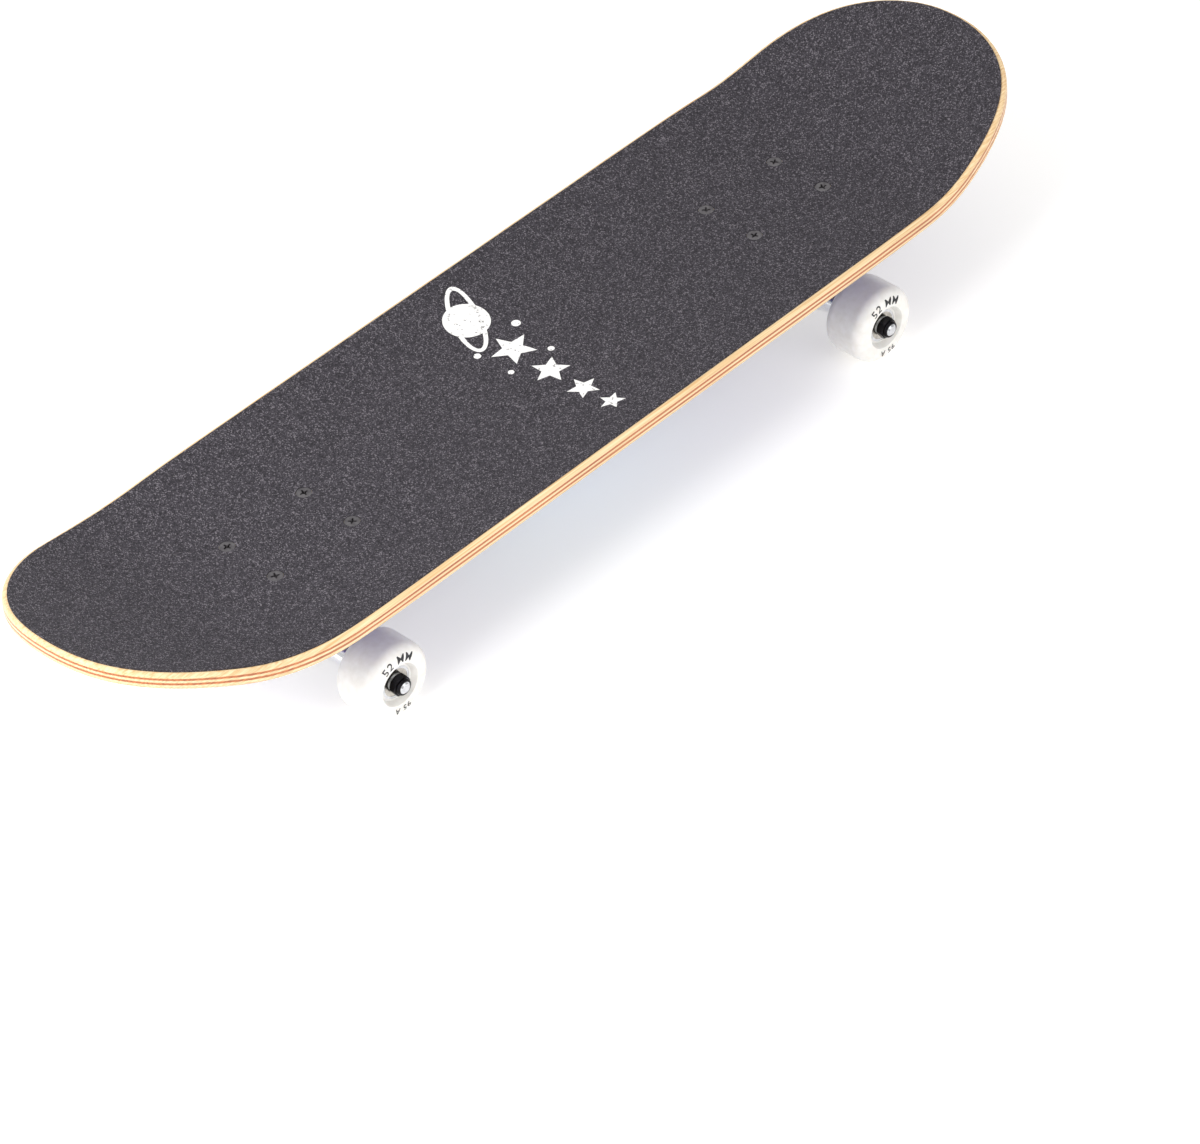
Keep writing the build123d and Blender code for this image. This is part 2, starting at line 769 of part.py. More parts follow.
# ---------------------------------------------------------------- wheel
def wheel():
    """A cast urethane wheel: rounded shoulders, a recess in each face and a seat for each bearing."""
    radius = wheel_diameter / 2
    seat = bearing_outer_diameter / 2
    depth = bearing_start - wheel_face_in
    inner_end = depth + bearing_width
    far = wheel_width
    mid = radius - shoulder_radius * (1 - math.sqrt(0.5))
    bend = shoulder_radius * (1 - math.sqrt(0.5))
    shoulder_a = ThreePointArc((radius - shoulder_radius, 0), (mid, bend), (radius, shoulder_radius))
    tread = Line((radius, shoulder_radius), (radius, far - shoulder_radius))
    shoulder_end = (radius - shoulder_radius, far)
    shoulder_b = ThreePointArc((radius, far - shoulder_radius), (mid, far - bend), shoulder_end)
    inside = Polyline(
        (radius - shoulder_radius, far),
        (recess_mouth_radius, far),
        (recess_floor_radius, far - depth),
        (seat, far - depth),
        (seat, far - inner_end),
        (core_bore_radius, far - inner_end),
        (core_bore_radius, inner_end),
        (seat, inner_end),
        (seat, depth),
        (recess_floor_radius, depth),
        (recess_mouth_radius, 0),
        (radius - shoulder_radius, 0),
    )
    outline = Plane.XZ * make_face([shoulder_a, tread, shoulder_b, inside])
    return along_axle(revolve(outline, Axis.Z), wheel_face_in)


def wheel_nodes():
    """Everything that turns in or with one wheel, on the truck's +Y side."""
    far = bearing_width - shield_inset - shield_thickness
    shields = in_both_bearings(shield(shield_inset)) + in_both_bearings(shield(far))
    starts = (bearing_start, outer_bearing_start)
    ball_set = [along_axle(ball, start) for start in starts for ball in balls()]
    return {
        "wheel": [wheel()],
        "bearing_outer_rings": in_both_bearings(outer_ring()),
        "bearing_shields": shields,
        "bearing_balls": ball_set,
        "bearing_cages": in_both_bearings(cage()),
    }


# ---------------------------------------------------------------- writing the nodes
def write(node, shapes):
    """Writes one node, keeping separate pieces as separate solids."""
    solids = []
    for shape in shapes:
        solids.extend(shape.solids())
    whole = solids[0] if len(solids) == 1 else Compound(children=solids)
    export_step(whole, os.path.join("parts", node + ".step"))


def main():
    """Builds every node of the board."""
    os.makedirs("parts", exist_ok=True)
    for number, ply in enumerate(deck_plies(), start=1):
        write("deck_ply_" + str(number), [ply])
    write("grip_tape", [grip_tape()])
    write("mounting_bolts", mounting_bolts())
    write("mounting_nuts", mounting_nuts())

    truck = {
        "riser_pad": [riser_pad()],
        "baseplate": [baseplate()],
        "pivot_cup": [pivot_cup()],
        "kingpin": [kingpin()],
        "lower_washer": [lower_washer()],
        "lower_bushing": [lower_bushing()],
        "upper_bushing": [upper_bushing()],
        "upper_washer": [upper_washer()],
        "kingpin_nut": [kingpin_nut()],
        "hanger": [hanger()],
        "axle": [axle()],
        "speed_washers": speed_washers(),
        "axle_nuts": axle_nuts(),
        "bearing_spacers": bearing_spacers(),
        "bearing_inner_rings": bearing_inner_rings(),
    }
    wheel_group = wheel_nodes()
    for end, frame in truck_frames.items():
        for name, shapes in truck.items():
            write(end + "_" + name, [frame.location * shape for shape in shapes])
        for side, sign in (("left", 1), ("right", -1)):
            on_plus_y = sign == side_sign[end]
            for name, shapes in wheel_group.items():
                placed = shapes if on_plus_y else [shape.mirror(Plane.XZ) for shape in shapes]
                write(end + "_" + side + "_" + name, [frame.location * shape for shape in placed])


main()
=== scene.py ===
import math

import bmesh
import bpy
from mathutils import Matrix, Vector
from mathutils.bvhtree import BVHTree
from mathutils.geometry import delaunay_2d_cdt


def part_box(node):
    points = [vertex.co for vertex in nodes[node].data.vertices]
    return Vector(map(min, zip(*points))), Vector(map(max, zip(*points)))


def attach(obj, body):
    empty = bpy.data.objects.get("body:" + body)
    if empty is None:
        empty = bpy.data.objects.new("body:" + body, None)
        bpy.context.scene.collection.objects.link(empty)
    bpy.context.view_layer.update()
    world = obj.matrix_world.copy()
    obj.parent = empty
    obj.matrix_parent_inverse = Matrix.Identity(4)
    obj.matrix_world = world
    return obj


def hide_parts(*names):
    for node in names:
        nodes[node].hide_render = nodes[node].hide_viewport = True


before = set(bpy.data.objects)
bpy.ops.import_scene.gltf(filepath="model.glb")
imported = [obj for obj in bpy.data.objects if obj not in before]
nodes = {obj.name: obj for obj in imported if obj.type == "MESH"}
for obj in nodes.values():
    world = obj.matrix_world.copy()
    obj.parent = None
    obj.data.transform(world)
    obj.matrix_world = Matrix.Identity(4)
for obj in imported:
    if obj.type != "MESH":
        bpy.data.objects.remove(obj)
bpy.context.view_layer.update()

MM = 0.001

# ---------------------------------------------------------------------------
# Deck plies: seven maple veneers, cross-laid, glued and pressed in a mould, then sawn, rounded over and
# sealed. The third and fifth are dyed red-brown. The lowest one carries the printed artwork under a gloss coat.


def colour(hex_code):
    """An sRGB hex colour as linear RGBA."""
    values = [int(hex_code[i : i + 2], 16) / 255 for i in (1, 3, 5)]
    return [v / 12.92 if v <= 0.04045 else ((v + 0.055) / 1.055) ** 2.4 for v in values] + [1.0]


def add(tree, kind, inputs=None, **settings):
    """Adds a node, with its settings, and its inputs as values or as links from other nodes' outputs."""
    made = tree.nodes.new(kind)
    for name, value in settings.items():
        setattr(made, name, value)
    for name, value in (inputs or {}).items():
        if isinstance(value, bpy.types.NodeSocket):
            tree.links.new(value, made.inputs[name])
        else:
            made.inputs[name].default_value = value
    return made


def finish_material(name, bare=None):
    """A new material: its tree, its Principled shader, and Object coordinates."""
    made = bpy.data.materials.new(name)
    made.use_nodes = True
    tree = made.node_tree
    shader = tree.nodes["Principled BSDF"]
    for key, value in (bare or {}).items():
        shader.inputs[key].default_value = value
    place = add(tree, "ShaderNodeTexCoord")
    return made, tree, shader, place


def ramp(tree, source, stops):
    """A colour ramp through the stops, each a position and a hex colour."""
    made = add(tree, "ShaderNodeValToRGB", {"Fac": source})
    band = made.color_ramp
    while len(band.elements) < len(stops):
        band.elements.new(0.5)
    for element, (at, code) in zip(band.elements, stops):
        element.position = at
        element.color = colour(code)
    return made.outputs["Color"]


def bump(tree, shader, height, distance, strength):
    """Fine relief from a pattern."""
    relief = add(tree, "ShaderNodeBump", {"Height": height, "Distance": distance, "Strength": strength})
    tree.links.new(relief.outputs["Normal"], shader.inputs["Normal"])


def veneer(name, pale, dark):
    """Sliced maple veneer under clear sealer: grain about 1 mm wide that runs the length of the board."""
    made, tree, shader, place = finish_material(
        name, {"Roughness": 0.42, "Coat Weight": 0.25, "Coat Roughness": 0.25}
    )
    along = add(tree, "ShaderNodeMapping", {"Vector": place.outputs["Object"], "Scale": (14, 900, 1300)})
    grain = add(tree, "ShaderNodeTexNoise", {"Vector": along.outputs["Vector"], "Scale": 1.0, "Detail": 4.0})
    tone = ramp(tree, grain.outputs["Fac"], [(0.32, dark), (0.62, pale)])
    tree.links.new(tone, shader.inputs["Base Color"])
    bump(tree, shader, grain.outputs["Fac"], 0.00006, 0.35)
    return made


pale_maple = veneer("maple veneer, sliced and sealed", "#F2D8AC", "#D9AE78")
dyed_maple = veneer("maple veneer, dyed and sealed", "#C9783F", "#8E4420")


def printed_underside():
    """Heat-transferred ink under gloss lacquer on the lowest veneer: a night sky that goes from purple at the
    tail, through indigo, to grey-violet at the nose, with stars up to 4 mm across. The sawn rim stays bare
    maple."""
    made, tree, shader, place = finish_material(
        "lacquered transfer print on maple",
        {"Roughness": 0.3, "Specular IOR Level": 0.15, "Coat Weight": 0.5, "Coat Roughness": 0.09},
    )
    split = add(tree, "ShaderNodeSeparateXYZ", {"Vector": place.outputs["Object"]})
    cloud = add(
        tree,
        "ShaderNodeTexNoise",
        {"Vector": place.outputs["Object"], "Scale": 9.0, "Detail": 4.0, "Roughness": 0.55},
    )
    drift = add(
        tree, "ShaderNodeMath", {0: cloud.outputs["Fac"], 1: 0.16, 2: -0.08}, operation="MULTIPLY_ADD"
    )
    run = add(tree, "ShaderNodeMapRange", {"Value": split.outputs["X"], "From Min": -0.40, "From Max": 0.40})
    spot = add(tree, "ShaderNodeMath", {0: run.outputs["Result"], 1: drift.outputs["Value"]}, operation="ADD")
    sky = ramp(
        tree,
        spot.outputs["Value"],
        [
            (0.05, "#4A2C84"),
            (0.28, "#43297F"),
            (0.48, "#262457"),
            (0.62, "#3B2C7E"),
            (0.78, "#4B3A7C"),
            (0.95, "#6B6478"),
        ],
    )
    murk = ramp(tree, cloud.outputs["Fac"], [(0.38, "#6F6A86"), (0.62, "#FFFFFF")])
    deep = add(
        tree, "ShaderNodeMix", {"Factor": 0.55, "A": sky, "B": murk}, data_type="RGBA", blend_type="MULTIPLY"
    )
    flat = add(tree, "ShaderNodeCombineXYZ", {"X": split.outputs["X"], "Y": split.outputs["Y"]})
    painted = deep.outputs["Result"]
    for size, low, high in ((95.0, 0.02, 0.075), (38.0, 0.015, 0.07)):
        star = add(tree, "ShaderNodeTexVoronoi", {"Vector": flat.outputs["Vector"], "Scale": size})
        pick = add(tree, "ShaderNodeSeparateColor", {"Color": star.outputs["Color"]})
        reach = add(
            tree,
            "ShaderNodeMapRange",
            {"Value": pick.outputs["Red"], "From Min": 0.55, "From Max": 1.0, "To Min": low, "To Max": high},
        )
        here = add(
            tree,
            "ShaderNodeMath",
            {0: reach.outputs["Result"], 1: star.outputs["Distance"]},
            operation="SUBTRACT",
        )
        seen = add(tree, "ShaderNodeMath", {0: pick.outputs["Red"], 1: 0.55}, operation="GREATER_THAN")
        dot = add(
            tree, "ShaderNodeMapRange", {"Value": here.outputs["Value"], "From Min": 0.0, "From Max": 0.012}
        )
        shown = add(
            tree, "ShaderNodeMath", {0: dot.outputs["Result"], 1: seen.outputs["Value"]}, operation="MULTIPLY"
        )
        mixed = add(
            tree,
            "ShaderNodeMix",
            {"Factor": shown.outputs["Value"], "A": painted, "B": colour("#F4F1F5")},
            data_type="RGBA",
        )
        painted = mixed.outputs["Result"]
    along = add(tree, "ShaderNodeMapping", {"Vector": place.outputs["Object"], "Scale": (14, 900, 1300)})
    grain = add(tree, "ShaderNodeTexNoise", {"Vector": along.outputs["Vector"], "Scale": 1.0, "Detail": 4.0})
    wood = ramp(tree, grain.outputs["Fac"], [(0.32, "#C99A62"), (0.62, "#E9C793")])
    facing = add(tree, "ShaderNodeSeparateXYZ", {"Vector": place.outputs["Normal"]})
    under = add(
        tree, "ShaderNodeMapRange", {"Value": facing.outputs["Z"], "From Min": -0.80, "From Max": -0.86}
    )
    whole = add(
        tree, "ShaderNodeMix", {"Factor": under.outputs["Result"], "A": wood, "B": painted}, data_type="RGBA"
    )
    tree.links.new(whole.outputs["Result"], shader.inputs["Base Color"])
    wave = add(tree, "ShaderNodeTexNoise", {"Vector": place.outputs["Object"], "Scale": 45.0, "Detail": 2.0})
    bump(tree, shader, wave.outputs["Fac"], 0.0004, 0.12)
    return made


def dress(node, material):
    """Gives a CAD node one material."""
    slots = nodes[node].data.materials
    slots.clear()
    slots.append(material)


ply_finish = [printed_underside(), pale_maple, dyed_maple, pale_maple, dyed_maple, pale_maple, pale_maple]
for number, material in enumerate(ply_finish, start=1):
    dress("deck_ply_%d" % number, material)

# ---------------------------------------------------------------------------
# Grip tape: silicon carbide grit bonded to a fabric-backed sheet with a black resin. It is stuck down and
# filed flush. The resin is matt charcoal, and single crystals flash where they face the light.


def grip_sheet():
    """Bonded grit in clumps 0.7 mm across: charcoal, each clump a little lighter or darker than the next."""
    made, tree, shader, place = finish_material(
        "silicon carbide grip tape, bonded", {"Roughness": 0.82, "Specular IOR Level": 0.35}
    )
    grit = add(tree, "ShaderNodeTexVoronoi", {"Vector": place.outputs["Object"], "Scale": 1500.0})
    shade = add(tree, "ShaderNodeSeparateColor", {"Color": grit.outputs["Color"]})
    broad = add(
        tree, "ShaderNodeTexNoise", {"Vector": place.outputs["Object"], "Scale": 420.0, "Detail": 3.0}
    )
    both = add(tree, "ShaderNodeMath", {0: broad.outputs["Fac"], 1: 0.5, 2: -0.25}, operation="MULTIPLY_ADD")
    level = add(
        tree, "ShaderNodeMath", {0: shade.outputs["Green"], 1: both.outputs["Value"]}, operation="ADD"
    )
    tone = ramp(
        tree,
        level.outputs["Value"],
        [(0.05, "#252227"), (0.5, "#39363C"), (0.82, "#4C484F"), (0.97, "#7A757B")],
    )
    tree.links.new(tone, shader.inputs["Base Color"])
    bump(tree, shader, grit.outputs["Distance"], 0.0006, 0.9)
    return made


dress("grip_tape", grip_sheet())


def crystals():
    """Loose-faced crystals scattered over the sheet, 0.2 to 0.5 mm across."""
    tree = bpy.data.node_groups.new("grit crystals", "GeometryNodeTree")
    face = tree.interface
    face.new_socket("Geometry", in_out="INPUT", socket_type="NodeSocketGeometry")
    density = face.new_socket("Crystals per square metre", in_out="INPUT", socket_type="NodeSocketFloat")
    size = face.new_socket("Crystal size", in_out="INPUT", socket_type="NodeSocketFloat")
    finish = face.new_socket("Finish", in_out="INPUT", socket_type="NodeSocketMaterial")
    face.new_socket("Geometry", in_out="OUTPUT", socket_type="NodeSocketGeometry")
    given = add(tree, "NodeGroupInput")
    normal = add(tree, "GeometryNodeInputNormal")
    up = add(tree, "ShaderNodeSeparateXYZ", {"Vector": normal.outputs[0]})
    top = add(tree, "FunctionNodeCompare", {0: up.outputs["Z"], 1: 0.8}, operation="GREATER_THAN")
    scatter = add(
        tree,
        "GeometryNodeDistributePointsOnFaces",
        {
            "Mesh": given.outputs["Geometry"],
            "Selection": top.outputs[0],
            "Density": given.outputs[1],
            "Seed": 7,
        },
    )
    grain = add(tree, "GeometryNodeMeshIcoSphere", {"Radius": given.outputs[2], "Subdivisions": 1})
    turn = add(
        tree,
        "FunctionNodeRandomValue",
        {0: (0, 0, 0), 1: (6.28, 6.28, 6.28), "Seed": 3},
        data_type="FLOAT_VECTOR",
    )
    grow = add(
        tree,
        "FunctionNodeRandomValue",
        {0: (0.5, 0.5, 0.4), 1: (1, 1, 0.8), "Seed": 5},
        data_type="FLOAT_VECTOR",
    )
    put = add(
        tree,
        "GeometryNodeInstanceOnPoints",
        {
            "Points": scatter.outputs["Points"],
            "Instance": grain.outputs["Mesh"],
            "Rotation": turn.outputs[0],
            "Scale": grow.outputs[0],
        },
    )
    real = add(tree, "GeometryNodeRealizeInstances", {"Geometry": put.outputs["Instances"]})
    coat = add(
        tree, "GeometryNodeSetMaterial", {"Geometry": real.outputs["Geometry"], "Material": given.outputs[3]}
    )
    add(tree, "NodeGroupOutput", {"Geometry": coat.outputs["Geometry"]})
    return tree, density.identifier, size.identifier, finish.identifier


def grown(name, mesh, tree, values, body):
    """Runs a node tree on a mesh, keeps the result as a plain mesh, and lets it ride on a body."""
    seed = bpy.data.objects.new(name + "_seed", mesh)
    bpy.context.scene.collection.objects.link(seed)
    live = seed.modifiers.new("grow", "NODES")
    live.node_group = tree
    for key, value in values.items():
        live[key] = value
    seed.update_tag()
    depth = bpy.context.evaluated_depsgraph_get()
    plain = bpy.data.meshes.new_from_object(seed.evaluated_get(depth))
    bpy.data.objects.remove(seed)
    piece = bpy.data.objects.new(name, plain)
    bpy.context.scene.collection.objects.link(piece)
    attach(piece, body)
    return piece


spark, spark_tree, spark_shader, spark_place = finish_material(
    "silicon carbide crystals, fused", {"Roughness": 0.25, "IOR": 2.6}
)
facet = add(spark_tree, "ShaderNodeTexNoise", {"Vector": spark_place.outputs["Object"], "Scale": 700.0})
spark_tone = ramp(spark_tree, facet.outputs["Fac"], [(0.35, "#3A373B"), (0.6, "#A9A4A6"), (0.72, "#D8D2C8")])
spark_tree.links.new(spark_tone, spark_shader.inputs["Base Color"])
grit_tree, grit_density, grit_size, grit_finish = crystals()
grit = grown(
    "grip_crystals",
    nodes["grip_tape"].data.copy(),
    grit_tree,
    {grit_density: 42000.0, grit_size: 0.00023, grit_finish: spark},
    "deck",
)

# ---------------------------------------------------------------------------
# Grip print: a ringed planet and four stars, screen printed in white ink across the middle of the sheet.
# The ink is thin, so the grit still shows through it as dark specks.
surface_of = {}


def tree_of(node):
    """A search tree of a CAD node's triangles, for laying thin things on it."""
    if node not in surface_of:
        mesh = bmesh.new()
        mesh.from_mesh(nodes[node].data)
        surface_of[node] = BVHTree.FromBMesh(mesh)
        mesh.free()
    return surface_of[node]


def ellipse(cx, cy, rx, ry):
    """An ellipse in plan, millimetres."""
    count = 48
    angles = [2 * math.pi * k / count for k in range(count)]
    return [(cx + rx * math.cos(angle), cy + ry * math.sin(angle)) for angle in angles]


def star(cx, cy, size, points=5, turn=0.0, waist=0.45):
    """A star in plan, millimetres."""
    rim = []
    for k in range(points * 2):
        r = size * (waist if k % 2 else 1.0)
        rim.append(
            (cx + r * math.cos(math.pi * k / points + turn), cy + r * math.sin(math.pi * k / points + turn))
        )
    return rim


def ring(cx, cy, rx, ry, width, turn=0.0, start=0.0, end=1.0, count=60):
    """A band of even width that follows part of an ellipse."""
    outer, inner = [], []
    c, s = math.cos(turn), math.sin(turn)
    for k in range(count + 1):
        a = 2 * math.pi * (start + (end - start) * k / count)
        for rim, grow in ((outer, width / 2), (inner, -width / 2)):
            x, y = (rx + grow) * math.cos(a), (ry + grow) * math.sin(a)
            rim.append((cx + x * c - y * s, cy + x * s + y * c))
    return outer + inner[::-1]


def dense_loop(shape, spacing):
    """A closed outline with its long sides cut to the spacing."""
    rim = [p for k, p in enumerate(shape) if (Vector(p) - Vector(shape[k - 1])).length > 0.05]
    points = []
    for k, p in enumerate(rim):
        a, b = Vector(rim[k - 1]), Vector(p)
        cuts = max(1, int((b - a).length / spacing))
        points += [a.lerp(b, j / cuts) for j in range(1, cuts + 1)]
    return points


def cut_up(outlines, spacing):
    """Points and small triangles that fill the outlines, which count as one shape where they overlap."""
    points, loops = [], []
    for outline in outlines:
        base, count = len(points), len(outline)
        points += outline
        loops += [(base + k, base + (k + 1) % count) for k in range(count)]
    low_x, high_x = min(p.x for p in points), max(p.x for p in points)
    low_y, high_y = min(p.y for p in points), max(p.y for p in points)
    for i in range(int((high_x - low_x) / spacing)):
        for j in range(int((high_y - low_y) / spacing)):
            points.append(Vector((low_x + (i + 0.5) * spacing, low_y + (j + 0.5) * spacing)))
    flat, _, faces, *_ = delaunay_2d_cdt(points, loops, [], 1, 0.01)
    return flat, faces


def film(
    name, node, shapes, lift, thickness, material, side, spacing=6.0, limit=None, joined=False
):
    """Thin ink on a CAD surface: the shapes are cut into small triangles and laid on the node, from above or
    below."""
    outside, board_height = 0.4, 0.1
    tree = tree_of(node)
    whole = bmesh.new()
    outlines = [dense_loop([limit(p) for p in shape] if limit else shape, spacing) for shape in shapes]
    outlines = [outline for outline in outlines if len(outline) > 2]
    for group in [outlines] if joined else [[outline] for outline in outlines]:
        flat, faces = cut_up(group, spacing)
        spots = []
        for p in flat:
            start = Vector((p.x * MM, p.y * MM, outside * side))
            found = tree.ray_cast(start, Vector((0, 0, -side)))[0]
            if found is None:
                found = tree.find_nearest(Vector((p.x * MM, p.y * MM, board_height)))[0]
            spots.append(whole.verts.new((p.x * MM, p.y * MM, found.z + side * lift * MM)))
        for f in faces:
            whole.faces.new([spots[k] for k in f])
    bmesh.ops.recalc_face_normals(whole, faces=whole.faces)
    for f in whole.faces:
        if f.normal.z * side < 0:
            f.normal_flip()
    bmesh.ops.delete(whole, geom=[v for v in whole.verts if not v.link_faces], context="VERTS")
    shell = bmesh.ops.extrude_face_region(whole, geom=whole.faces[:])
    for v in shell["geom"]:
        if isinstance(v, bmesh.types.BMVert):
            v.co.z += side * thickness * MM
    bmesh.ops.recalc_face_normals(whole, faces=whole.faces)
    mesh = bpy.data.meshes.new(name)
    whole.to_mesh(mesh)
    whole.free()
    mesh.materials.append(material)
    piece = bpy.data.objects.new(name, mesh)
    bpy.context.scene.collection.objects.link(piece)
    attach(piece, "deck")


white_ink, ink_tree, ink_shader, ink_place = finish_material("screen ink, white, on grit", {"Roughness": 0.7})
speck = add(ink_tree, "ShaderNodeTexVoronoi", {"Vector": ink_place.outputs["Object"], "Scale": 950.0})
speck_split = add(ink_tree, "ShaderNodeSeparateColor", {"Color": speck.outputs["Color"]})
speck_tone = ramp(
    ink_tree, speck_split.outputs["Green"], [(0.0, "#E9E7E4"), (0.93, "#FAF9F7"), (0.98, "#A5A2A2")]
)
ink_tree.links.new(speck_tone, ink_shader.inputs["Base Color"])
bump(ink_tree, ink_shader, speck.outputs["Distance"], 0.0005, 0.6)

middle_x = 5
grip_shapes = [ellipse(middle_x, 58, 15, 15)]
grip_shapes += [ring(middle_x, 58, 29, 8.5, 3.2, math.radians(62), 0.315, 1.185)]
for star_y, star_size, star_turn in ((18, 15, 0.3), (-14, 12.5, 0.7), (-42, 10.5, 0.1), (-66, 8.5, 0.5)):
    grip_shapes.append(star(middle_x, star_y, star_size, 5, star_turn))
grip_shapes += [
    ellipse(24, 34, 3, 3), ellipse(-14, 30, 2.4, 2.4), ellipse(-12, 3, 2, 2), ellipse(20, 0, 2.2, 2.2)
]
film("grip_print", "grip_tape", grip_shapes, 0.10, 0.14, white_ink, 1, spacing=4.0)

# ---------------------------------------------------------------------------
# Underside artwork: a plain ringed planet, clouds at the tail and a few moons, in flat inks under the
# lacquer. Each ink is a skin a few hundredths of a millimetre thick, laid on the lowest veneer and kept off
# its rounded rim.
under = tree_of("deck_ply_1")


def printable_half_width(x):
    """How far from the centre line the underside can take ink at x."""
    low, high = 0.0, 101.0
    flattest_rim = -0.86
    for _ in range(11):
        middle = (low + high) / 2
        hit = under.ray_cast(Vector((x * MM, middle * MM, -0.1)), Vector((0, 0, 1)))
        if hit[0] is not None and hit[1].z < flattest_rim:
            low = middle
        else:
            high = middle
    return low


rim_step = 4
half_width_at = {x: printable_half_width(x) for x in range(-396, 397, rim_step)}
ink_ends = [x for x, half in half_width_at.items() if half > 2]


def inside_rim(point):
    """Pulls a point in to the printed area."""
    x = min(max(point[0], min(ink_ends) + 0.5), max(ink_ends) - 0.5)
    step = rim_step * math.floor(x / rim_step)
    share = (x - step) / rim_step
    half = half_width_at.get(step, 0) * (1 - share) + half_width_at.get(step + rim_step, 0) * share
    return (x, min(max(point[1], -half), half))


def ink(name, code, tint=None):
    """Flat screen ink under gloss lacquer, faintly mottled."""
    made, tree, shader, place = finish_material(
        name, {"Roughness": 0.3, "Specular IOR Level": 0.15, "Coat Weight": 0.5, "Coat Roughness": 0.09}
    )
    mottle = add(
        tree, "ShaderNodeTexNoise", {"Vector": place.outputs["Object"], "Scale": 22.0, "Detail": 3.0}
    )
    tone = ramp(tree, mottle.outputs["Fac"], [(0.35, tint or code), (0.65, code)])
    tree.links.new(tone, shader.inputs["Base Color"])
    wave = add(tree, "ShaderNodeTexNoise", {"Vector": place.outputs["Object"], "Scale": 45.0, "Detail": 2.0})
    bump(tree, shader, wave.outputs["Fac"], 0.0004, 0.12)
    return made


navy = ink("transfer ink, navy", "#181A3C")
cloud_white = ink("transfer ink, white", "#F7F6F6", tint="#EDEBF0")
ice_blue = ink("transfer ink, ice blue", "#AFC9EC", tint="#8FAFDD")
steel_blue = ink("transfer ink, steel blue", "#6E8CC4", tint="#5A78B4")
mint = ink("transfer ink, mint", "#9AD9CC")


def under_film(name, shapes, lift, material, spacing=6.0, limit=None, joined=False):
    """A film of ink on the lowest veneer, at its own height in the stack of inks."""
    film(name, "deck_ply_1", shapes, lift, 0.03, material, -1, spacing, limit, joined)


puffs = [(-352, 52, 34), (-384, 6, 40), (-348, -46, 36), (-318, 20, 30), (-300, -22, 27), (-322, 74, 24)]
puffs += [(-306, -74, 26), (-276, 46, 18), (-268, -54, 20), (-288, 6, 17), (-252, -76, 13)]
edge = 1.6
outline_shapes = [ellipse(x, y, r + edge, r + edge) for x, y, r in puffs]
under_film("print_outlines", outline_shapes, 0.07, navy, 4.0, inside_rim, True)
under_film(
    "print_clouds", [ellipse(x, y, r, r) for x, y, r in puffs], 0.14, cloud_white, 4.0, inside_rim, True
)

curls = []
line_width, turn_steps = 1.8, 120
for k, (x, y, r) in enumerate(puffs):
    shown = []
    for i in range(turn_steps):
        angle = 2 * math.pi * i / turn_steps
        px, py = x + r * math.cos(angle), y + r * math.sin(angle)
        shown.append(all(math.hypot(px - ox, py - oy) > other - 0.5 for ox, oy, other in puffs[k + 1 :]))
    if all(shown):
        curls += [ring(x, y, r, r, line_width, 0.0, half, half + 0.5) for half in (0.0, 0.5)]
        continue
    first = shown.index(False)
    start = None
    for i in range(first, first + turn_steps + 1):
        if shown[i % turn_steps] and start is None:
            start = i
        if not shown[i % turn_steps] and start is not None:
            if i - start > 3:
                reach = (start / turn_steps, (i - 1) / turn_steps)
                curls.append(ring(x, y, r, r, line_width, 0.0, *reach, 2 * (i - start)))
            start = None
for x, y, r in puffs:
    if r > 19:
        curls.append(ring(x, y, r * 0.66, r * 0.66, 1.3, math.pi - 0.6, 0.0, 0.17, 16))
under_film("print_cloud_lines", curls, 0.23, navy, 3.0, inside_rim)

planet_x, planet_radius, planet_edge = 10, 50, 3
bands = []
for low, high in ((-34, -22), (-6, 10), (24, 33)):
    side_points = [(y, math.sqrt(planet_radius**2 - y**2)) for y in (low, (low + high) / 2, high)]
    left_side = [(planet_x - half + 2, y) for y, half in side_points]
    right_side = [(planet_x + half - 2, y) for y, half in side_points[::-1]]
    bands.append(left_side + right_side)


def half_ring(width, start):
    """Half of the planet's ring, from start to half a turn on."""
    return ring(planet_x, 0, 104, 24, width, math.radians(18), start, start + 0.5)


ring_width, ring_edge_width = 9, 13
rim_radius = planet_radius + planet_edge
under_film("print_planet_back_edge", [half_ring(ring_edge_width, 0.0)], 0.07, navy, limit=inside_rim)
under_film("print_planet_back_ring", [half_ring(ring_width, 0.0)], 0.13, mint, limit=inside_rim)
under_film("print_planet_edge", [ellipse(planet_x, 0, rim_radius, rim_radius)], 0.19, navy)
under_film("print_planet", [ellipse(planet_x, 0, planet_radius, planet_radius)], 0.25, ice_blue)
under_film("print_planet_bands", bands, 0.31, steel_blue)
under_film("print_planet_front_edge", [half_ring(ring_edge_width, 0.5)], 0.37, navy, limit=inside_rim)
under_film("print_planet_front_ring", [half_ring(ring_width, 0.5)], 0.43, mint, limit=inside_rim)

moons = [(-226, 74, 9), (-206, -84, 6), (236, 62, 3.2), (300, -40, 3.6)]
moons += [(268, 20, 2.6), (120, 74, 3), (180, -70, 3.4), (-180, 70, 2.4)]
under_film("print_moons", [ellipse(x, y, r, r) for x, y, r in moons], 0.07, cloud_white, 3.0, inside_rim)
sparkles = [(214, -48, 5), (330, 30, 4.4), (150, 66, 4.6), (-130, -70, 4), (60, 78, 4.2)]
sparkle_shapes = [star(x, y, r, 4, 0.0, 0.22) for x, y, r in sparkles]
under_film("print_sparkles", sparkle_shapes, 0.07, cloud_white, 3.0, inside_rim)

# ---------------------------------------------------------------------------
# Screws and nuts: eight 10-32 countersunk steel screws, zinc plated and darkened.
# Their lock nuts are black, and sit under the baseplates.


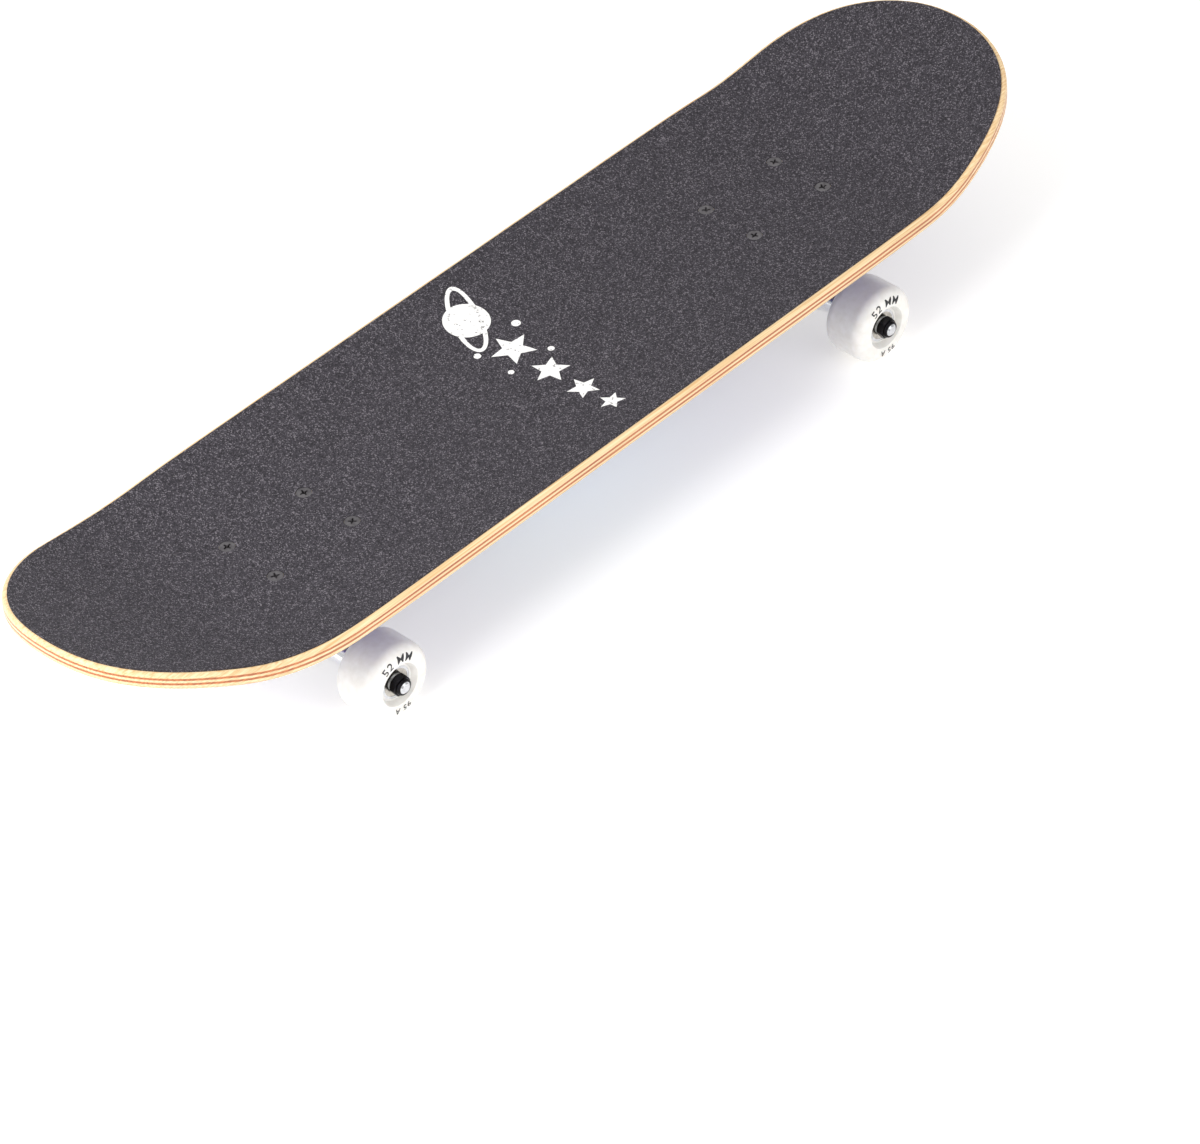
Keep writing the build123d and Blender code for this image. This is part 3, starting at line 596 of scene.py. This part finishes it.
def metal(name, pale, dark, rough):
    """A bare or plated metal: slight unevenness in tone and in gloss."""
    relief, uneven = 0.00004, 0.08
    made, tree, shader, place = finish_material(name, {"Metallic": 1.0})
    pattern = add(
        tree, "ShaderNodeTexNoise", {"Vector": place.outputs["Object"], "Scale": 300.0, "Detail": 4.0}
    )
    tone = ramp(tree, pattern.outputs["Fac"], [(0.3, dark), (0.7, pale)])
    tree.links.new(tone, shader.inputs["Base Color"])
    broad = add(tree, "ShaderNodeTexNoise", {"Vector": place.outputs["Object"], "Scale": 90.0, "Detail": 2.0})
    gloss = add(
        tree,
        "ShaderNodeMapRange",
        {"Value": broad.outputs["Fac"], "To Min": rough - uneven, "To Max": rough + uneven},
    )
    tree.links.new(gloss.outputs["Result"], shader.inputs["Roughness"])
    bump(tree, shader, pattern.outputs["Fac"], relief, 0.5)
    return made


darkened_zinc = metal("steel, zinc plated and darkened", "#8B888A", "#6E6B6E", 0.42)
black_oxide = metal("steel, black oxide, oiled", "#2B2A2D", "#171618", 0.32)
zinc = metal("steel, bright zinc plated", "#B9BBBE", "#A2A4A8", 0.3)
ground_steel = metal("steel, ground bright", "#D4D5D7", "#BEC0C3", 0.2)
dress("mounting_bolts", darkened_zinc)
dress("mounting_nuts", black_oxide)


def thread_rings():
    """Thread ridges: rounded rings in a row along Z, one pitch apart."""
    tree = bpy.data.node_groups.new("thread ridges", "GeometryNodeTree")
    face = tree.interface
    face.new_socket("Geometry", in_out="INPUT", socket_type="NodeSocketGeometry")
    names = []
    for label in ("Thread radius", "Pitch", "Ridge height"):
        names.append(face.new_socket(label, in_out="INPUT", socket_type="NodeSocketFloat").identifier)
    names.append(face.new_socket("Turns", in_out="INPUT", socket_type="NodeSocketInt").identifier)
    names.append(face.new_socket("Finish", in_out="INPUT", socket_type="NodeSocketMaterial").identifier)
    face.new_socket("Geometry", in_out="OUTPUT", socket_type="NodeSocketGeometry")
    given = add(tree, "NodeGroupInput")
    path = add(tree, "GeometryNodeCurvePrimitiveCircle", {"Resolution": 32, "Radius": given.outputs[1]})
    section = add(tree, "GeometryNodeCurvePrimitiveCircle", {"Resolution": 6, "Radius": given.outputs[3]})
    ridge = add(
        tree,
        "GeometryNodeCurveToMesh",
        {"Curve": path.outputs["Curve"], "Profile Curve": section.outputs["Curve"]},
    )
    step = add(tree, "ShaderNodeCombineXYZ", {"Z": given.outputs[2]})
    row = add(tree, "GeometryNodeMeshLine", {"Count": given.outputs[4], "Offset": step.outputs["Vector"]})
    put = add(
        tree,
        "GeometryNodeInstanceOnPoints",
        {"Points": row.outputs["Mesh"], "Instance": ridge.outputs["Mesh"]},
    )
    real = add(tree, "GeometryNodeRealizeInstances", {"Geometry": put.outputs["Instances"]})
    coat = add(
        tree, "GeometryNodeSetMaterial", {"Geometry": real.outputs["Geometry"], "Material": given.outputs[5]}
    )
    add(tree, "NodeGroupOutput", {"Geometry": coat.outputs["Geometry"]})
    return tree, names


ridge_tree, ridge_inputs = thread_rings()


def threads(name, places, radius, pitch, height, turns, finish, body):
    """Thread ridges at each place, a matrix whose Z runs along the thread, joined as one piece."""
    blank = bpy.data.meshes.new(name + "_blank")
    values = dict(zip(ridge_inputs, (radius * MM, pitch * MM, height * MM, turns, finish)))
    one = grown(name + "_one", blank, ridge_tree, values, body)
    whole = bmesh.new()
    for place in places:
        part = one.data.copy()
        part.transform(place)
        whole.from_mesh(part)
        bpy.data.meshes.remove(part)
    bmesh.ops.recalc_face_normals(whole, faces=whole.faces)
    mesh = bpy.data.meshes.new(name)
    whole.to_mesh(mesh)
    whole.free()
    mesh.materials.append(finish)
    bpy.data.objects.remove(one)
    piece = bpy.data.objects.new(name, mesh)
    bpy.context.scene.collection.objects.link(piece)
    for polygon in mesh.polygons:
        polygon.use_smooth = True
    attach(piece, body)


screw_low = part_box("mounting_bolts")[0].z
board_middle, truck_reach = 0.005, 0.2082
pattern_length, pattern_width = 63.5, 41.3
first_ridge = 0.0009
screw_spots = []
for end in (1, -1):
    for along in (-pattern_length / 2, pattern_length / 2):
        for across in (-pattern_width / 2, pattern_width / 2):
            spot = (board_middle + end * truck_reach + along * MM, across * MM, screw_low + first_ridge)
            screw_spots.append(Matrix.Translation(spot))
threads("screw_threads", screw_spots, 2.3, 0.8, 0.2, 4, darkened_zinc, "deck")

# ---------------------------------------------------------------------------
# Trucks, fixed half: riser pad, baseplate and pivot cup. The baseplate is a gravity casting in aluminium
# alloy, tumbled and left raw, so its edges are rounded and its skin is dull and finely pitted. The pad and
# cup are moulded.


def cast_copy(node, name, voxel, passes, material, body):
    """A casting from its CAD node: the same walls, with the fillets and rounded edges that a mould and
    tumbling leave."""
    rough = nodes[node].data.copy()
    solid = bmesh.new()
    solid.from_mesh(rough)
    bmesh.ops.remove_doubles(solid, verts=solid.verts, dist=0.000002)
    solid.to_mesh(rough)
    solid.free()
    blank = bpy.data.objects.new(name + "_blank", rough)
    bpy.context.scene.collection.objects.link(blank)
    skin = blank.modifiers.new("skin", "REMESH")
    skin.mode = "VOXEL"
    skin.voxel_size = voxel * MM
    soften = blank.modifiers.new("soften", "SMOOTH")
    soften.factor = 0.5
    soften.iterations = passes
    depth = bpy.context.evaluated_depsgraph_get()
    mesh = bpy.data.meshes.new_from_object(blank.evaluated_get(depth))
    bpy.data.objects.remove(blank)
    for polygon in mesh.polygons:
        polygon.use_smooth = True
    mesh.materials.clear()
    mesh.materials.append(material)
    piece = bpy.data.objects.new(name, mesh)
    bpy.context.scene.collection.objects.link(piece)
    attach(piece, body)
    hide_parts(node)


def raw_casting():
    """Tumbled aluminium alloy: grey, pits and peened marks 1 to 6 mm across, brighter where the media
    struck."""
    made, tree, shader, place = finish_material("aluminium alloy, sand cast and tumbled", {"Metallic": 1.0})
    fine = add(
        tree,
        "ShaderNodeTexNoise",
        {"Vector": place.outputs["Object"], "Scale": 900.0, "Detail": 5.0, "Roughness": 0.65},
    )
    broad = add(
        tree, "ShaderNodeTexNoise", {"Vector": place.outputs["Object"], "Scale": 160.0, "Detail": 3.0}
    )
    mixed = add(
        tree, "ShaderNodeMath", {0: fine.outputs["Fac"], 1: broad.outputs["Fac"]}, operation="MULTIPLY"
    )
    tone = ramp(tree, mixed.outputs["Value"], [(0.14, "#6F6D6B"), (0.3, "#A9A7A4"), (0.42, "#CBCAC8")])
    tree.links.new(tone, shader.inputs["Base Color"])
    gloss = add(
        tree,
        "ShaderNodeMapRange",
        {"Value": broad.outputs["Fac"], "From Min": 0.3, "From Max": 0.7, "To Min": 0.28, "To Max": 0.46},
    )
    tree.links.new(gloss.outputs["Result"], shader.inputs["Roughness"])
    bump(tree, shader, mixed.outputs["Value"], 0.0005, 0.45)
    return made


def moulded(name, code, rough):
    """Moulded rubber or plastic: an even satin skin with a faint mould grain."""
    made, tree, shader, place = finish_material(name, {"Roughness": rough})
    grain = add(
        tree, "ShaderNodeTexNoise", {"Vector": place.outputs["Object"], "Scale": 1400.0, "Detail": 2.0}
    )
    pale = "#" + "".join("%02X" % min(255, int(int(code[i : i + 2], 16) * 1.35 + 4)) for i in (1, 3, 5))
    tone = ramp(tree, grain.outputs["Fac"], [(0.35, code), (0.7, pale)])
    tree.links.new(tone, shader.inputs["Base Color"])
    bump(tree, shader, grain.outputs["Fac"], 0.00008, 0.4)
    return made


raw_cast = raw_casting()
black_rubber = moulded("rubber, moulded, black", "#18181A", 0.55)
black_plastic = moulded("polyurethane, moulded, black", "#141416", 0.4)
for end in ("nose", "tail"):
    cast_copy(end + "_baseplate", end + "_baseplate_casting", 0.62, 5, raw_cast, "deck")
    dress(end + "_riser_pad", black_rubber)
    dress(end + "_pivot_cup", black_plastic)

# ---------------------------------------------------------------------------
# Kingpin group: a black steel kingpin and lock nut clamp two black cast urethane bushings between cupped
# steel washers.
for end in ("nose", "tail"):
    for part in ("kingpin", "kingpin_nut", "lower_washer", "upper_washer"):
        dress(end + "_" + part, black_oxide)
    for part in ("lower_bushing", "upper_bushing"):
        dress(end + "_" + part, black_plastic)

tilt = math.radians(12.5)
kingpin_offset, thread_start = 0.0195, 0.0394
kingpin_seat = 0.077 - 0.0215
for end, way in (("nose", 1), ("tail", -1)):
    along = Vector((way * math.sin(tilt), 0, -math.cos(tilt)))
    seat = Vector((board_middle + way * truck_reach - way * kingpin_offset, 0, kingpin_seat))
    foot = seat + along * thread_start
    turn = along.to_track_quat("Z", "Y").to_matrix().to_4x4()
    threads(
        end + "_kingpin_threads",
        [Matrix.Translation(foot) @ turn],
        4.55,
        1.0,
        0.26,
        3,
        black_oxide,
        "deck",
    )

# ---------------------------------------------------------------------------
# Hangers: aluminium alloy castings round a steel axle, linished and polished bright by hand, so the faces are
# mirror-like with a slight ripple.


def polished_casting():
    """Polished aluminium alloy: bright, with a ripple 15 mm long and a fine mottle."""
    made, tree, shader, place = finish_material("aluminium alloy, cast and polished", {"Metallic": 1.0})
    fine = add(tree, "ShaderNodeTexNoise", {"Vector": place.outputs["Object"], "Scale": 500.0, "Detail": 4.0})
    broad = add(tree, "ShaderNodeTexNoise", {"Vector": place.outputs["Object"], "Scale": 70.0, "Detail": 2.0})
    tone = ramp(tree, fine.outputs["Fac"], [(0.2, "#D9DADD"), (0.5, "#E6E7EA"), (0.8, "#EEEFF0")])
    tree.links.new(tone, shader.inputs["Base Color"])
    gloss = add(
        tree,
        "ShaderNodeMapRange",
        {"Value": broad.outputs["Fac"], "From Min": 0.3, "From Max": 0.7, "To Min": 0.13, "To Max": 0.27},
    )
    tree.links.new(gloss.outputs["Result"], shader.inputs["Roughness"])
    both = add(
        tree,
        "ShaderNodeMath",
        {0: fine.outputs["Fac"], 1: 0.08, 2: broad.outputs["Fac"]},
        operation="MULTIPLY_ADD",
    )
    bump(tree, shader, both.outputs["Value"], 0.0005, 0.12)
    return made


polished_cast = polished_casting()
for end in ("nose", "tail"):
    cast_copy(
        end + "_hanger", end + "_hanger_casting", 0.62, 9, polished_cast, end + "_hanger"
    )
    dress(end + "_axle", ground_steel)
    dress(end + "_speed_washers", zinc)
    dress(end + "_axle_nuts", black_oxide)
    dress(end + "_bearing_spacers", zinc)
    dress(end + "_bearing_inner_rings", ground_steel)
    low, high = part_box(end + "_axle")
    spots = []
    thread_length = 0.0026
    for side, y in ((-1, low.y), (1, high.y)):
        foot = Vector(((low.x + high.x) / 2, y - side * thread_length, (low.z + high.z) / 2))
        spots.append(Matrix.Translation(foot) @ Matrix.Rotation(math.radians(-90 * side), 4, "X"))
    threads(end + "_axle_threads", spots, 3.85, 0.8, 0.2, 3, ground_steel, end + "_hanger")

# ---------------------------------------------------------------------------
# Wheels: white cast polyurethane, skimmed on a lathe, with pad-printed size marks on each outer face.
# The urethane glows a little at its edges. Bearings have bright pressed steel shields.


def cast_urethane():
    """White polyurethane: satin, slightly milky below the surface, with a faint mottle 5 mm across."""
    made, tree, shader, place = finish_material(
        "polyurethane, cast and turned, white",
        {"Roughness": 0.34, "IOR": 1.5, "Subsurface Weight": 0.22, "Subsurface Scale": 0.004},
    )
    shader.inputs["Subsurface Radius"].default_value = (1.0, 0.85, 0.7)
    marks = add(
        tree, "ShaderNodeTexNoise", {"Vector": place.outputs["Object"], "Scale": 220.0, "Detail": 2.0}
    )
    tone = ramp(tree, marks.outputs["Fac"], [(0.3, "#ECE9E3"), (0.7, "#F5F3EF")])
    tree.links.new(tone, shader.inputs["Base Color"])
    bump(tree, shader, marks.outputs["Fac"], 0.00012, 0.3)
    return made


urethane = cast_urethane()
shield_steel = metal("steel shield, pressed and bright", "#C9C5BC", "#9E9A92", 0.24)
cage_nylon = moulded("nylon, moulded, natural", "#C9C2AC", 0.45)
mark_ink = moulded("pad-print ink, black", "#17171A", 0.5)


def wheel_marks(wheel, side, words):
    """Size marks in an arc, each letter bent round the hub and laid on the wheel's outer face."""
    low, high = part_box(wheel)
    centre = Vector(((low.x + high.x) / 2, 0, (low.z + high.z) / 2))
    outer = high.y if side > 0 else low.y
    tree = tree_of(wheel)
    ink_thickness, clear = 0.00006, 0.01
    whole = bmesh.new()
    for text, middle, radius, height in words:
        curve = bpy.data.curves.new("letters", "FONT")
        curve.body = text
        curve.size = height
        curve.align_x = "CENTER"
        curve.space_character = 1.15
        curve.offset = height * 0.004
        writer = bpy.data.objects.new("letters", curve)
        bpy.context.scene.collection.objects.link(writer)
        depth = bpy.context.evaluated_depsgraph_get()
        flat = bpy.data.meshes.new_from_object(writer.evaluated_get(depth))
        bpy.data.objects.remove(writer)
        part = bmesh.new()
        part.from_mesh(flat)
        bmesh.ops.triangulate(part, faces=part.faces)
        bmesh.ops.subdivide_edges(part, edges=[e for e in part.edges if e.calc_length() > 0.5], cuts=3)
        bmesh.ops.triangulate(part, faces=part.faces)
        for v in part.verts:
            away = radius + v.co.y - height * 0.35
            angle = math.radians(middle) - v.co.x / radius
            spot = Vector(
                (centre.x - side * away * math.cos(angle) * MM, 0, centre.z + away * math.sin(angle) * MM)
            )
            start = Vector((spot.x, outer + side * clear, spot.z))
            found = tree.ray_cast(start, Vector((0, -side, 0)))
            y = found[0].y if found[0] is not None else outer
            v.co = Vector((spot.x, y + side * ink_thickness, spot.z))
        part.to_mesh(flat)
        part.free()
        whole.from_mesh(flat)
        bpy.data.meshes.remove(flat)
    bmesh.ops.remove_doubles(whole, verts=whole.verts, dist=0.000001)
    bmesh.ops.recalc_face_normals(whole, faces=whole.faces)
    for f in whole.faces:
        if f.normal.y * side < 0:
            f.normal_flip()
    shell = bmesh.ops.extrude_face_region(whole, geom=whole.faces[:])
    for v in shell["geom"]:
        if isinstance(v, bmesh.types.BMVert):
            v.co.y += side * ink_thickness
    bmesh.ops.recalc_face_normals(whole, faces=whole.faces)
    mesh = bpy.data.meshes.new(wheel + "_marks")
    whole.to_mesh(mesh)
    whole.free()
    mesh.materials.append(mark_ink)
    piece = bpy.data.objects.new(wheel + "_marks", mesh)
    bpy.context.scene.collection.objects.link(piece)
    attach(piece, wheel)


size_marks = (("52 MM", 90, 19.0, 8.0), ("95 A", -90, 19.0, 6.0))
for end in ("nose", "tail"):
    for side, name in ((1, "left"), (-1, "right")):
        corner = end + "_" + name + "_"
        dress(corner + "wheel", urethane)
        dress(corner + "bearing_outer_rings", ground_steel)
        dress(corner + "bearing_shields", shield_steel)
        dress(corner + "bearing_balls", ground_steel)
        dress(corner + "bearing_cages", cage_nylon)
        wheel_marks(corner + "wheel", side, size_marks)

# ---------------------------------------------------------------------------
# Camera: far off with a long lens, above the board's right rail and to the tail side of it, rolled a few
# degrees.
azimuth, elevation, roll = math.radians(-42.896), math.radians(40.963), math.radians(-5.136)
back = Vector(
    (math.sin(azimuth) * math.cos(elevation), -math.cos(azimuth) * math.cos(elevation), math.sin(elevation))
)
flat_x = Vector((0, 0, 1)).cross(back).normalized()
flat_y = back.cross(flat_x)
eye_x = math.cos(roll) * flat_x + math.sin(roll) * flat_y
eye_y = -math.sin(roll) * flat_x + math.cos(roll) * flat_y
aim = Vector((board_middle, 0, 0.0883))
shift_left, shift_up, distance = 0.04024, 0.129027, 3.608862
eye = aim + shift_left * eye_x - shift_up * eye_y + distance * back
lens = bpy.data.cameras.new("camera")
lens.sensor_width = 36
lens.lens = 177.35
lens.clip_end = 50
camera = bpy.data.objects.new("camera", lens)
camera.matrix_world = Matrix.Translation(eye) @ Matrix((eye_x, eye_y, back)).transposed().to_4x4()
bpy.context.scene.collection.objects.link(camera)
bpy.context.scene.camera = camera

# ---------------------------------------------------------------------------
# Studio: a pale seamless floor under broad soft lights, a key beyond the tail and a
# wide fill beside the right rail. The floor has a faint glow of its own, which keeps it pale.
floor_mesh = bpy.data.meshes.new("floor")
reach = 9
corners = [(-reach, -reach, 0), (reach, -reach, 0), (reach, reach, 0), (-reach, reach, 0)]
floor_mesh.from_pydata(corners, [], [(0, 1, 2, 3)])
floor = bpy.data.objects.new("floor", floor_mesh)
bpy.context.scene.collection.objects.link(floor)
paper_look = {"Base Color": colour("#F6F6F6"), "Roughness": 0.9}
paper_look.update({"Emission Color": colour("#FFFDF8"), "Emission Strength": 0.36})
paper, *_ = finish_material("seamless paper, matt", paper_look)
floor_mesh.materials.append(paper)

sky = bpy.data.worlds.new("studio")
sky.use_nodes = True
sky.node_tree.nodes["Background"].inputs["Color"].default_value = (1, 1, 1, 1)
sky.node_tree.nodes["Background"].inputs["Strength"].default_value = 0.66
bpy.context.scene.world = sky


def softbox(name, place, size, power):
    """A square soft light aimed at the board."""
    lamp = bpy.data.lights.new(name, "AREA")
    lamp.shape = "SQUARE"
    lamp.size = size
    lamp.energy = power
    box = bpy.data.objects.new(name, lamp)
    aim = (Vector((0, 0, 0.08)) - Vector(place)).to_track_quat("-Z", "Y")
    box.matrix_world = Matrix.Translation(place) @ aim.to_matrix().to_4x4()
    bpy.context.scene.collection.objects.link(box)


softbox("key", (-1.2, 0.1, 1.25), 1.2, 26)
softbox("fill", (0.2, -2.4, 1.6), 2.2, 20)
bpy.context.scene.view_settings.view_transform = "Standard"
